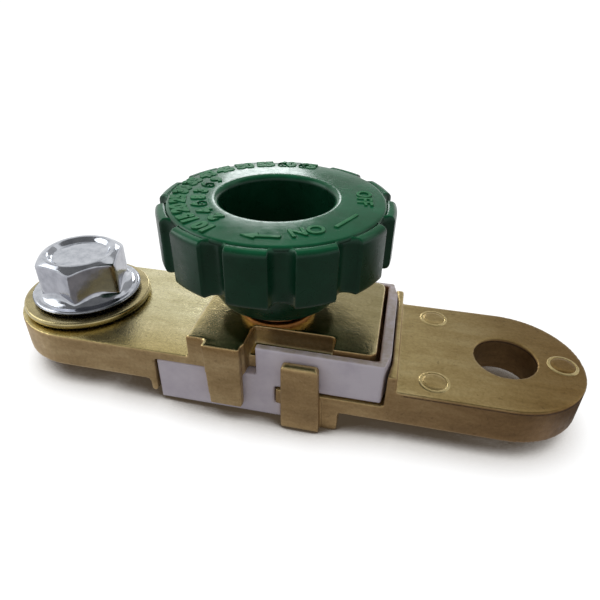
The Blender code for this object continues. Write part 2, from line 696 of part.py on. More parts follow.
clear_scene()
switch = new_collection("battery_disconnect_switch")
cutters = new_collection("cutters")
axis_empty = bpy.data.objects.new("knob_axis", None)
axis_empty.location = (AXIS_X, 0.0, 0.0)
switch.objects.link(axis_empty)

battery_side_bar()
cable_side_bar()
insulator()
terminal_bolt()
terminal_washer()
contact_washer()
knob_stud()
knob()
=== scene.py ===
import bpy
import bmesh
from math import cos, pi, radians, sin, sqrt
from mathutils import Matrix, Vector


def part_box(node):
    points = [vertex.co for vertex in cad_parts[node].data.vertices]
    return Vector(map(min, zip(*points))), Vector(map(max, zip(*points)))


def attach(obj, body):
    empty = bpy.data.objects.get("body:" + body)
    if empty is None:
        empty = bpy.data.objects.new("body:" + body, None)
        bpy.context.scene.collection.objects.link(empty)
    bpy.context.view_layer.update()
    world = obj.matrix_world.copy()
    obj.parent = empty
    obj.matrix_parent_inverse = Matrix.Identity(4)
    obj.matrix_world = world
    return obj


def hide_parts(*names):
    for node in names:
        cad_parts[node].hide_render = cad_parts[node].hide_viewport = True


# The battery disconnect switch's looks. Lengths are metres, in the frame's own coordinates.
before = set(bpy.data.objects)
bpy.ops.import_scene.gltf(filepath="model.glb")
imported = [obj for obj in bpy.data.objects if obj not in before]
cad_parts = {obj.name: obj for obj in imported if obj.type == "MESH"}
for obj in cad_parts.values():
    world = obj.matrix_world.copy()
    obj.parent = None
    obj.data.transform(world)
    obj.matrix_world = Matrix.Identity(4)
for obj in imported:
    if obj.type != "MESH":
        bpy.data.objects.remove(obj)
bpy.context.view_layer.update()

MM = 0.001
BARS = "bars"
KNOB = "knob"


# Sizes read from the frame
def middle(node):
    low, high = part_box(node)
    return (low + high) / 2


knob_low, knob_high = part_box("knob")
stud_low, stud_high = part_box("knob_stud")
bolt_low, bolt_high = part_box("terminal_bolt")
washer_low, washer_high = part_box("terminal_washer")
contact_low, contact_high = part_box("contact_washer")
AXIS = Vector((middle("knob").x, 0.0, 0.0))
BOLT_AXIS = Vector((middle("terminal_bolt").x, 0.0, 0.0))

# Cast bars and moulded insulator
CAST_VOXEL = 0.28 * MM
CAST_ROUNDING = 4             # smoothing passes over the sawn edges
NYLON_VOXEL = 0.25 * MM
NYLON_ROUNDING = 2
CLAW_START = 2.6 * MM         # side claws of the cable bar
CLAW_END = 9.0 * MM
CLAW_INNER = 13.9 * MM
CLAW_TOP = 14.1 * MM
CLAW_LIFT = 0.4 * MM
CLAW_SPREAD = 0.6 * MM
CLAW_CORNER = 0.9 * MM
TAB_TOP = 11.32 * MM
EJECTOR_PLACES = ((28.3, 9.65), (28.3, -9.65), (50.89, 0.0))
EJECTOR_RISE = 0.18 * MM
EJECTOR_PROFILE = ((0.0, EJECTOR_RISE), (1.5 * MM, EJECTOR_RISE), (1.8 * MM, EJECTOR_RISE * 0.8),
                   (1.95 * MM, -0.05 * MM), (2.05 * MM, -0.05 * MM), (2.2 * MM, EJECTOR_RISE * 0.7),
                   (2.35 * MM, EJECTOR_RISE * 0.8), (2.6 * MM, EJECTOR_RISE * 0.4),
                   (2.9 * MM, -0.15 * MM))
EJECTOR_STEPS = 72

# Knob, measured like its solid
KNOB_RADIUS = (knob_high.x - knob_low.x) / 2
FACE_RADIUS = 18.4 * MM
FACE_EDGE = 0.7 * MM
GROOVE_RADIUS = 18.2 * MM
CUP_RADIUS = 9.7 * MM
CUP_MOUTH = 1.1 * MM
CUP_FLOOR = 4.6 * MM
CUP_CORNER = 1.2 * MM
HUB_RADIUS = 11.0 * MM
HUB_TOP_RADIUS = 14.8 * MM
HUB_HEIGHT = 8.2 * MM
HUB_EDGE = 0.6 * MM
HUB_BULGE = 1.3
LOBE_COUNT = 12
LOBE_SHARE = 0.62
LOBE_TURN = 1.0
LOBE_EDGE = 1.0 * MM
LOBE_BLEND = 1.8 * MM         # rounding of the lobes' upright edges
FACE_RISE = 0.2 * MM
FACE_CROWN = 0.25 * MM        # face falls away to its rim
CROWN_POWER = 2.5
KNOB_STEPS = 720

# Marks on the knob's face, in millimetres and degrees about its axis
MARK_HEIGHT = 0.20 * MM
MARK_SINK = 0.30 * MM
MARK_EDGE = 0.07 * MM
WORD_WEIGHT = 0.012           # how far a letter's outline is widened, as a share of its size
NUMBER_WEIGHT = 0.060
WORD_RADIUS = 14.4
ON_PLACE = (3.5, -58.5)       # size and angle
OFF_PLACE = (3.5, 9.0)
ARROW = [(4.3, -14.85), (0.9, -15.35), (1.0, -14.85), (-1.3, -15.75),
         (0.7, -16.45), (0.8, -15.95), (4.3, -15.45)]
BAR = [(11.2, -9.9), (11.75, -10.0), (14.1, -5.0), (13.7, -4.7)]
OUTER_RING = ("10", "15", "20", "25", "30", "35", "40", "45", "50", "55", "60", "65")
OUTER_RADIUS = 16.2
OUTER_SIZE = 3.3
OUTER_SPAN = (243.0, 83.0)
INNER_RING = ("2", "4", "6", "8", "3", "6", "9")
INNER_RADIUS = 12.9
INNER_SIZE = 3.0
INNER_SPAN = (238.0, 160.0)

# Terminal bolt
BOLT_RADIUS = 4.9 * MM
BOLT_PITCH = 1.5 * MM
BOLT_THREAD = 0.8 * MM
BOLT_ACROSS_FLATS = 15.0 * MM
BOLT_HEAD_HEIGHT = 8.6 * MM
BOLT_TURN = 46.6              # degrees, first corner of the head
FLANGE_RADIUS = (bolt_high.x - bolt_low.x) / 2
FLANGE_EDGE = 0.5 * MM
FLANGE_RIM = 0.7 * MM         # height of the flange's rim
FLANGE_RISE = 1.75 * MM       # further rise from the rim to the head's flats
HEAD_FILLET = 0.35 * MM
HEAD_RIM = 0.75 * MM          # flat side to the top's round rim
DISH_RADIUS = 5.0 * MM
DISH_SLOPE = 1.25 * MM
HEAD_DISH = 0.8 * MM
CHAMFER_SLOPE = 0.45          # fall of the head's chamfer, and how it steepens outwards
CHAMFER_BEND = 90.0
HEAD_BREAK = 0.15 * MM        # broken edge between the chamfer and the flats
FLANGE_POWER = 2.5
SEAT_WIDTH = 1.6 * MM         # ring of the flange that bears on the washer
SEAT_RISE = 0.25 * MM
SEAT_HOLLOW = 0.3 * MM
BOLT_STEPS = 240
THREAD_ROW = 0.1 * MM
THREAD_CREST = 1.25           # crests and roots are flat, and the flanks between them straight
THREAD_FLANK = 3.0
HEXAGON_CORNER = 0.985        # corners are cut back to this share of the full radius
HEXAGON_BLEND = 0.04

# Stud
STUD_RADIUS = 4.0 * MM
STUD_PITCH = 1.25 * MM
STUD_THREAD = 0.67 * MM
STUD_CHAMFER = 0.8 * MM
COLLAR_RADIUS = 7.0 * MM
COLLAR_THICKNESS = 1.4 * MM
COLLAR_CHAMFER = 0.35 * MM
STUD_ACROSS_FLATS = 11.0 * MM
STUD_NECK = 0.2 * MM          # from the collar to the thread
COLLAR_SEAT = 0.3 * MM        # above the contact washer

# Washers
WASHER_HOLE = 5.2 * MM
WASHER_EDGE = 0.5 * MM
WASHER_VISIBLE = 1.35 * MM    # thickness, worn thinner than its solid
BOSS_RADIUS = 7.6 * MM        # washer face under the bolt's flange
BOSS_GAP = 0.05 * MM
CONTACT_HOLE = 4.3 * MM
CONTACT_EDGE = 0.25 * MM
WASHER_STEPS = 192

# Camera, fitted to the photograph
CAMERA_PLACE = AXIS + Vector((19.954, -77.202, 69.492)) * MM
CAMERA_TILT = 33.178          # degrees below the horizon
CAMERA_TURN = 11.502          # degrees left of +Y
CAMERA_ROLL = 1.182
PICTURE_WIDTH = 600.0
FOCAL_PIXELS = 501.28
SENSOR_WIDTH = 36.0


def add_piece(name, mesh):
    piece = bpy.data.objects.new(name, mesh)
    bpy.context.scene.collection.objects.link(piece)
    return piece


def dress(piece, body, material, stands_for=None):
    """Give a piece its material and let it ride on its body."""
    piece.data.materials.clear()
    piece.data.materials.append(material)
    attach(piece, body)
    if stands_for:
        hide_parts(stands_for)
    return piece


def arc(centre_x, centre_y, radius, start, end, steps):
    """Points on an arc, angles in degrees."""
    points = []
    for step in range(steps + 1):
        angle = radians(start + (end - start) * step / steps)
        points.append((centre_x + radius * cos(angle), centre_y + radius * sin(angle)))
    return points


def line(start, end, steps):
    """Points from start towards end, without the end."""
    points = []
    for step in range(steps):
        share = step / steps
        points.append((start[0] + (end[0] - start[0]) * share, start[1] + (end[1] - start[1]) * share))
    return points


def smooth_less(first, second, blend):
    """The smaller of two values, eased where they are within the blend of each other."""
    spread = max(blend - abs(first - second), 0.0) / blend
    return min(first, second) - spread * spread * blend / 4


def turned_grid(name, rows, steps, place, closed=False):
    """A skin of rings: each row gives (radius, height) for an angle in radians."""
    mesh = bpy.data.meshes.new(name)
    shape = bmesh.new()
    rings = []
    for row in rows:
        ring = []
        for step in range(steps):
            angle = 2 * pi * step / steps
            radius, height = row(angle) if callable(row) else row
            ring.append(shape.verts.new((radius * cos(angle), radius * sin(angle), height)))
        rings.append(ring)
    pairs = list(zip(rings, rings[1:]))
    if closed:
        pairs.append((rings[-1], rings[0]))
    for upper, lower in pairs:
        for step in range(steps):
            ahead = (step + 1) % steps
            shape.faces.new((upper[step], lower[step], lower[ahead], upper[ahead]))
    bmesh.ops.remove_doubles(shape, verts=shape.verts, dist=0.0000005)
    bmesh.ops.recalc_face_normals(shape, faces=shape.faces)
    shape.to_mesh(mesh)
    shape.free()
    mesh.shade_smooth()
    piece = add_piece(name, mesh)
    piece.location = place
    return piece


# Node trees
class Tree:
    """The node tree of a material or a world, and the kinds of node that the finishes share."""

    def __init__(self, owner):
        owner.use_nodes = True
        self.nodes = owner.node_tree.nodes
        self.links = owner.node_tree.links

    def feed(self, socket, value):
        """Link a socket, or set its number or its (r, g, b) colour."""
        if isinstance(value, bpy.types.NodeSocket):
            self.links.new(value, socket)
        elif isinstance(value, float):
            socket.default_value = value
        else:
            socket.default_value = (*value, 1.0)

    def where(self):
        """The place on the piece, in the frame's own coordinates."""
        return self.nodes.new("ShaderNodeTexCoord").outputs["Object"]

    def surface(self):
        """The normal and the pointiness."""
        return self.nodes.new("ShaderNodeNewGeometry").outputs

    def split(self, vector):
        """A vector's X, Y and Z."""
        made = self.nodes.new("ShaderNodeSeparateXYZ")
        self.links.new(vector, made.inputs["Vector"])
        return made.outputs

    def stretch(self, vector, scale):
        made = self.nodes.new("ShaderNodeMapping")
        made.inputs["Scale"].default_value = scale
        self.links.new(vector, made.inputs["Vector"])
        return made.outputs["Vector"]

    def noise(self, vector, size, detail=3.0, roughness=0.55):
        """A noise texture whose blotches are about size metres across."""
        texture = self.nodes.new("ShaderNodeTexNoise")
        texture.inputs["Scale"].default_value = 1.0 / size
        texture.inputs["Detail"].default_value = detail
        texture.inputs["Roughness"].default_value = roughness
        self.links.new(vector, texture.inputs["Vector"])
        return texture.outputs["Fac"]

    def ramp(self, value, stops):
        """A colour ramp through (position, colour) stops."""
        made = self.nodes.new("ShaderNodeValToRGB")
        elements = made.color_ramp.elements
        while len(elements) < len(stops):
            elements.new(0.5)
        for element, (position, colour) in zip(elements, stops):
            element.position = position
            element.color = (*colour, 1.0)
        self.links.new(value, made.inputs["Fac"])
        return made.outputs["Color"]

    def greys(self, value, stops):
        """A ramp through (position, grey level) stops."""
        return self.ramp(value, [(position, (level,) * 3) for position, level in stops])

    def mask(self, value, low, high):
        """0 at low and 1 at high, either way round."""
        made = self.nodes.new("ShaderNodeMapRange")
        made.inputs["From Min"].default_value = low
        made.inputs["From Max"].default_value = high
        self.links.new(value, made.inputs["Value"])
        return made.outputs["Result"]

    def mix(self, share, first, second, blend="MIX"):
        """Two colours mixed by a share, each a socket or an (r, g, b) colour."""
        made = self.nodes.new("ShaderNodeMix")
        made.data_type = "RGBA"
        made.blend_type = blend
        for socket, value in (("Factor_Float", share), ("A_Color", first), ("B_Color", second)):
            self.feed(next(item for item in made.inputs if item.identifier == socket), value)
        return next(item for item in made.outputs if item.identifier == "Result_Color")

    def tint(self, first, second):
        return self.mix(1.0, first, second, "MULTIPLY")

    def arithmetic(self, operation, first, second=0.0):
        made = self.nodes.new("ShaderNodeMath")
        made.operation = operation
        made.use_clamp = operation != "ADD"
        self.feed(made.inputs[0], first)
        self.feed(made.inputs[1], second)
        return made.outputs["Value"]

    def times(self, first, *others):
        for other in others:
            first = self.arithmetic("MULTIPLY", first, other)
        return first

    def bump(self, shader, heights):
        """Chain (height socket, depth in metres) bumps onto a shader's normal."""
        normal = None
        for height, depth in heights:
            made = self.nodes.new("ShaderNodeBump")
            made.inputs["Distance"].default_value = depth
            self.links.new(height, made.inputs["Height"])
            if normal:
                self.links.new(normal, made.inputs["Normal"])
            normal = made.outputs["Normal"]
        self.links.new(normal, shader.inputs["Normal"])

    def choose_seen(self, bounced, seen, output):
        """One shader for bounced light, and one for what the eye sees directly or mirrored."""
        path = self.nodes.new("ShaderNodeLightPath").outputs
        direct = self.arithmetic("ADD", path["Is Camera Ray"], path["Is Glossy Ray"])
        direct = self.arithmetic("ADD", direct, path["Is Transmission Ray"])
        chosen = self.nodes.new("ShaderNodeMixShader")
        self.links.new(direct, chosen.inputs["Fac"])
        self.links.new(bounced, chosen.inputs[1])
        self.links.new(seen, chosen.inputs[2])
        self.links.new(chosen.outputs["Shader"], output)


# Materials
WHITE = (1.0, 1.0, 1.0)
TONE_STOPS = (0.30, 0.52, 0.72)          # dark, middle and light blotches
PIT_DIRT = (0.07, 0.045, 0.02)
SEAM_DARK = (0.05, 0.03, 0.02)
RUBBED_BRASS = (0.72, 0.64, 0.42)
SEAM_WIDTH = 0.15 * MM
SEAM_TAB = (22.8 * MM, 23.2 * MM)        # the seam starts on the cable tab
# Painted shade: the battery tab's top darkens towards its front edge over this span
FRONT_SHADE_SPAN = (-1.0 * MM, -12.5 * MM)    # towards the front edge
BRIDGE_FOOT = 13.5 * MM
GRIME_HEIGHT = (15.6 * MM, 16.2 * MM)    # top of the moulding's wall and lips
# Bounds of the painted shade in the gap between the bridge's end and the wall
GAP_START = (17.4 * MM, 17.6 * MM)       # gap between the bridge's end and the wall
GAP_END = (19.1 * MM, 18.9 * MM)
GAP_TOP = (16.2 * MM, 15.9 * MM)
GAP_SIDE = (12.7 * MM, 12.3 * MM)
# Brass tones: lighter lit tops and darker shaded sides, painted light and shade
BATTERY_LIT_TOPS = ((0.55, 0.50, 0.28), (0.67, 0.62, 0.38), (0.76, 0.71, 0.47))
BATTERY_SHADED_SIDES = ((0.36, 0.25, 0.12), (0.46, 0.33, 0.17), (0.56, 0.43, 0.24))
# Painted shade under the knob: the battery bar's bridge is darker and browner above its foot, with a
# glossier top
BATTERY_BRIDGE_SHADE = ("Z", 14.5 * MM, 16 * MM, (0.85, 0.78, 0.66), 0.55)
BATTERY_FRONT_SHADE = (0.80, 0.71, 0.52)
CABLE_LIT_TOPS = ((0.50, 0.38, 0.16), (0.64, 0.51, 0.24), (0.74, 0.62, 0.33))
CABLE_SHADED_SIDES = ((0.30, 0.20, 0.095), (0.41, 0.28, 0.135), (0.51, 0.37, 0.19))
CABLE_STAIN = ("X", 12 * MM, 50 * MM, (0.42, 0.33, 0.24), 1.0)
CABLE_SEAM = 10.75 * MM
# Knob and mark tones: darker shaded sides and lighter lit tops, painted light and shade
KNOB_SHADED_SIDES = ((0.002, 0.022, 0.009), (0.003, 0.036, 0.016))
KNOB_LIT_TOPS = ((0.003, 0.085, 0.030), (0.006, 0.125, 0.050))
MARK_SHADED_SIDES = ((0.003, 0.070, 0.020), (0.004, 0.100, 0.030))
MARK_LIT_TOPS = ((0.004, 0.120, 0.034), (0.008, 0.170, 0.050))


def new_material(name):
    material = bpy.data.materials.new(name)
    tree = Tree(material)
    return material, tree, tree.nodes["Principled BSDF"]


def dark_seam_share(tree, place, grains, height):
    """Share of the dark colour in the broken line under the cable tab's upper edge."""
    return tree.times(tree.mask(place["Z"], height - SEAM_WIDTH, height),
                      tree.mask(place["Z"], height + SEAM_WIDTH + 0.1 * MM, height + SEAM_WIDTH),
                      tree.mask(place["X"], *SEAM_TAB), tree.mask(grains, 0.30, 0.50), 0.8)


def cast_brass(name, lit_top_tones, shaded_side_tones, roughness, stain_and_shade, seam=None, front_shade_tint=WHITE):
    """Cast brass: rubbed smooth where it faces up, sandy on its sides, browner towards one end, and
    with painted light and shade in its colour.

    The tones go from dark to light; the lit top tones and the shaded side tones are painted light and
    shade.
    The roughness is (top, side), and the stain and shade is (axis, start, end, colour at its end,
    roughness at its end): a real stain along the cable bar, painted shade on the battery bar's bridge.
    A seam is the height of a dark line. The front shade tint is a painted shade on what faces up below
    the bridge, towards the front edge.
    """
    top_roughness, side_roughness = roughness
    axis, stain_and_shade_from, stain_and_shade_to, stain_and_shade_colour, stain_and_shade_gloss = stain_and_shade
    material, tree, shader = new_material(name)
    where = tree.where()
    place = tree.split(where)
    surface = tree.surface()
    upward = tree.split(surface["Normal"])["Z"]
    facing_up = tree.mask(upward, 0.45, 0.90)
    blotches = tree.noise(tree.stretch(where, (0.35, 1.0, 1.0)), 3.5 * MM, 5.0, 0.62)
    grains = tree.noise(where, 0.6 * MM, 3.0, 0.7)
    sand = tree.noise(where, 0.25 * MM, 2.0, 0.6)
    pits = tree.mask(tree.noise(where, 0.9 * MM, 2.0, 0.5), 0.66, 0.74)

    # Painted light and shade: lit top tones where the brass faces up, darker shaded side tones
    # elsewhere
    top = tree.ramp(blotches, list(zip(TONE_STOPS, lit_top_tones)))
    side = tree.ramp(blotches, list(zip(TONE_STOPS, shaded_side_tones)))
    # Painted shade: what faces up below the bridge darkens towards the front edge
    low_down = tree.mask(place["Z"], BRIDGE_FOOT + MM, BRIDGE_FOOT)
    front = tree.times(tree.mask(place["Y"], *FRONT_SHADE_SPAN), low_down)
    top = tree.tint(top, tree.ramp(front, [(0.0, WHITE), (1.0, front_shade_tint)]))
    colour = tree.mix(facing_up, side, top)
    speckle = tree.ramp(grains, [(0.32, (0.70, 0.68, 0.62)), (0.62, WHITE)])
    colour = tree.mix(0.6, colour, speckle, "MULTIPLY")
    colour = tree.mix(tree.times(pits, 0.25), colour, PIT_DIRT)
    # Band along one axis: a real stain on the cable bar, painted shade on the battery bar's bridge
    stain_and_shade_mask = tree.mask(place[axis], stain_and_shade_from, stain_and_shade_to)
    colour = tree.tint(colour, tree.ramp(stain_and_shade_mask, [(0.0, WHITE), (1.0, stain_and_shade_colour)]))
    if seam:
        colour = tree.mix(dark_seam_share(tree, place, grains, seam), colour, SEAM_DARK)
    rubbed = tree.times(tree.mask(surface["Pointiness"], 0.56, 0.64), tree.mask(grains, 0.46, 0.66),
                        tree.mask(upward, 0.10, 0.40), 0.35)
    colour = tree.mix(rubbed, colour, RUBBED_BRASS)

    gloss = tree.greys(facing_up, [(0.0, side_roughness), (1.0, top_roughness)])
    gloss = tree.tint(gloss, tree.greys(blotches, [(0.3, 1.0), (0.7, 0.8)]))
    gloss = tree.tint(gloss, tree.greys(stain_and_shade_mask, [(0.0, 1.0), (1.0, stain_and_shade_gloss)]))
    tree.feed(shader.inputs["Base Color"], colour)
    tree.feed(shader.inputs["Metallic"], tree.greys(facing_up, [(0.0, 0.75), (1.0, 1.0)]))
    tree.feed(shader.inputs["Roughness"], gloss)
    tree.bump(shader, [(sand, 0.02 * MM), (grains, 0.03 * MM), (blotches, 0.03 * MM)])
    return material


def polished_brass(name, colour, roughness):
    """Turned or stamped brass or copper with a faint grain round it."""
    material, tree, shader = new_material(name)
    where = tree.where()
    streaks = tree.noise(tree.stretch(where, (1.0, 1.0, 6.0)), 0.6 * MM, 3.0, 0.6)
    stains = tree.noise(where, 4 * MM, 3.0, 0.6)
    darker = tuple(channel * 0.72 for channel in colour)
    gloss = tree.greys(streaks, [(0.3, roughness - 0.05), (0.7, roughness + 0.08)])
    tree.feed(shader.inputs["Base Color"], tree.ramp(stains, [(0.35, darker), (0.6, colour)]))
    tree.feed(shader.inputs["Metallic"], 1.0)
    tree.feed(shader.inputs["Roughness"], gloss)
    tree.bump(shader, [(streaks, 0.008 * MM)])
    return material


def bright_zinc():
    """Bright plated steel: soft waves, a few hazy spots, and sides darkened as painted shade."""
    material, tree, shader = new_material("bright_zinc_finish")
    where = tree.where()
    haze = tree.noise(where, 2.2 * MM, 4.0, 0.6)
    waves = tree.noise(where, 1.6 * MM, 2.0, 0.5)
    facing_up = tree.mask(tree.split(tree.surface()["Normal"])["Z"], 0.10, 0.60)
    plated = tree.ramp(haze, [(0.35, (0.40, 0.42, 0.46)), (0.62, (0.54, 0.56, 0.60))])
    # Painted shade: the sides are a darker copy of the plating
    painted_shade_sides = tree.tint(plated, (0.60, 0.59, 0.61))
    tree.feed(shader.inputs["Base Color"], tree.mix(facing_up, painted_shade_sides, plated))
    tree.feed(shader.inputs["Metallic"], 1.0)
    tree.feed(shader.inputs["Roughness"], tree.greys(haze, [(0.35, 0.20), (0.65, 0.10)]))
    tree.bump(shader, [(waves, 0.03 * MM)])
    return material


def white_nylon():
    """Natural nylon: faint mould texture, slight stains, grime on its top, and painted shade in its
    gap.
    """
    material, tree, shader = new_material("white_nylon_finish")
    where = tree.where()
    place = tree.split(where)
    stains = tree.noise(where, 5 * MM, 5.0, 0.6)
    smears = tree.noise(where, 1.8 * MM, 4.0, 0.65)
    dirt = tree.mask(tree.noise(where, 1.1 * MM, 4.0, 0.7), 0.68, 0.76)
    mould = tree.noise(where, 0.35 * MM, 2.0, 0.6)
    upward = tree.split(tree.surface()["Normal"])["Z"]
    grime = tree.times(tree.mask(place["Z"], *GRIME_HEIGHT), tree.mask(upward, 0.4, 0.9),
                       tree.mask(smears, 0.16, 0.66))
    # Painted shade: dark brown in the gap between the bridge's end and the wall
    gap_shade = tree.times(tree.mask(place["X"], *GAP_START), tree.mask(place["X"], *GAP_END),
                        tree.mask(place["Z"], *GAP_TOP),
                        tree.mask(tree.arithmetic("ABSOLUTE", place["Y"]), *GAP_SIDE))
    colour = tree.ramp(stains, [(0.35, (0.64, 0.58, 0.66)), (0.6, (0.74, 0.68, 0.75))])
    colour = tree.mix(grime, colour, (0.37, 0.28, 0.16))
    colour = tree.mix(gap_shade, colour, (0.24, 0.11, 0.045))
    colour = tree.mix(tree.times(dirt, 0.5), colour, (0.25, 0.24, 0.22))
    tree.feed(shader.inputs["Base Color"], colour)
    tree.feed(shader.inputs["Roughness"], 0.45)
    tree.bump(shader, [(mould, 0.01 * MM), (stains, 0.06 * MM)])
    return material


def green_plastic(name, shaded_side_tones, lit_top_tones, roughness):
    """Glossy moulded plastic: flow marks, orange peel, and painted light and shade: lighter where it
    faces up, darker on its sides.
    """
    material, tree, shader = new_material(name)
    where = tree.where()
    facing_up = tree.mask(tree.split(tree.surface()["Normal"])["Z"], 0.30, 0.95)
    flow = tree.noise(where, 7 * MM, 4.0, 0.6)
    scuffs = tree.noise(where, 1.4 * MM, 4.0, 0.65)
    peel = tree.noise(where, 0.5 * MM, 2.0, 0.5)
    # Painted light and shade: darker shaded side tones, and lit top tones where it faces up
    side = tree.ramp(flow, list(zip((0.35, 0.65), shaded_side_tones)))
    top = tree.ramp(flow, list(zip((0.35, 0.65), lit_top_tones)))
    scuffed = tree.greys(scuffs, [(0.35, roughness - 0.04), (0.7, roughness + 0.10)])
    duller = tree.greys(facing_up, [(0.0, 0.12), (0.8, 0.0)])
    tree.feed(shader.inputs["Base Color"], tree.mix(facing_up, side, top))
    tree.feed(shader.inputs["Specular Tint"], (0.80, 1.0, 0.92))
    tree.feed(shader.inputs["Specular IOR Level"], 0.27)
    tree.feed(shader.inputs["Roughness"], tree.arithmetic("ADD", scuffed, duller))
    tree.bump(shader, [(peel, 0.010 * MM), (flow, 0.05 * MM)])
    return material


BATTERY_BRASS = cast_brass("battery_bar_brass", BATTERY_LIT_TOPS, BATTERY_SHADED_SIDES, (0.29, 0.56),
                           BATTERY_BRIDGE_SHADE, front_shade_tint=BATTERY_FRONT_SHADE)
CABLE_BRASS = cast_brass("cable_bar_brass", CABLE_LIT_TOPS, CABLE_SHADED_SIDES, (0.38, 0.56),
                         CABLE_STAIN, seam=CABLE_SEAM)
WASHER_BRASS = polished_brass("washer_finish", (0.46, 0.39, 0.20), 0.24)
STUD_BRASS = polished_brass("stud_finish", (0.70, 0.50, 0.22), 0.28)
COPPER = polished_brass("contact_finish", (0.70, 0.36, 0.22), 0.32)
ZINC = bright_zinc()
NYLON = white_nylon()
GREEN = green_plastic("knob_finish", KNOB_SHADED_SIDES, KNOB_LIT_TOPS, 0.18)
MARK_GREEN = green_plastic("mark_finish", MARK_SHADED_SIDES, MARK_LIT_TOPS, 0.45)


# Bars and insulator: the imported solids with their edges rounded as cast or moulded
def rounded_copy(node, name, voxel, passes):
    """A fine copy of a solid, its edges softened by a few smoothing passes."""
    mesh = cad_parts[node].data.copy()
    piece = add_piece(name, mesh)
    remesh = piece.modifiers.new("remesh", "REMESH")
    remesh.mode = "VOXEL"
    remesh.voxel_size = voxel
    remesh.use_smooth_shade = True
    soften = piece.modifiers.new("soften", "SMOOTH")
    soften.factor = 0.5
    soften.iterations = passes
    bpy.context.view_layer.update()
    evaluated = piece.evaluated_get(bpy.context.evaluated_depsgraph_get())
    made = bpy.data.meshes.new_from_object(evaluated)
    piece.modifiers.clear()
    piece.data = made
    made.name = name
    made.shade_smooth()
    return piece


def shape_claws(mesh):
    """The cable bar's side claws as cast: straight edges, a little taller, corners rounded."""
    for vertex in mesh.vertices:
        x, y, z = vertex.co
        if abs(y) < CLAW_INNER or not CLAW_START - MM < x < CLAW_END + MM:
            continue
        across = min(max((x - CLAW_START) / (CLAW_END - CLAW_START), 0.0), 1.0)
        x += CLAW_SPREAD * across * max(1.0 - z / CLAW_TOP, 0.0)
        z += CLAW_LIFT * min(max(z / CLAW_TOP * 3.0 - 2.0, 0.0), 1.0)
        into_corner = CLAW_CORNER - min(x - CLAW_START, CLAW_END - x)
        if into_corner > 0.0:
            rounded = sqrt(max(CLAW_CORNER ** 2 - into_corner ** 2, 0.0))
            z = min(z, CLAW_TOP + CLAW_LIFT - CLAW_CORNER + rounded)
        vertex.co = (x, y, z)


def ejector_marks():
    """Round marks of the die's ejector pins on the cable tab: a groove round a raised middle."""
    for index, (x, y) in enumerate(EJECTOR_PLACES):
        name = f"ejector_mark_{index + 1}"
        mark = turned_grid(name, EJECTOR_PROFILE, EJECTOR_STEPS, (x * MM, y * MM, TAB_TOP))
        dress(mark, BARS, CABLE_BRASS)


def cast_pieces():
    battery = rounded_copy("battery_side_bar", "battery_bar_casting", CAST_VOXEL, CAST_ROUNDING)
    dress(battery, BARS, BATTERY_BRASS, "battery_side_bar")
    cable = rounded_copy("cable_side_bar", "cable_bar_casting", CAST_VOXEL, CAST_ROUNDING)
    shape_claws(cable.data)
    dress(cable, BARS, CABLE_BRASS, "cable_side_bar")
    moulding = rounded_copy("insulator", "insulator_moulding", NYLON_VOXEL, NYLON_ROUNDING)
    dress(moulding, BARS, NYLON, "insulator")
    ejector_marks()


# Knob
def lobe_radius(angle):
    """Outline of the grip: lobes with rounded grooves between them."""
    pitch = 360.0 / LOBE_COUNT
    turn = ((angle * 180.0 / pi - LOBE_TURN) / pitch) % 1.0
    across = (turn - 0.5) / ((1.0 - LOBE_SHARE) / 2)
    if abs(across) >= 1.0:
        return KNOB_RADIUS
    crest = KNOB_RADIUS + 0.5 * MM
    groove = crest - (crest - GROOVE_RADIUS) * sqrt(1.0 - across ** 2)
    return smooth_less(groove, KNOB_RADIUS, LOBE_BLEND)


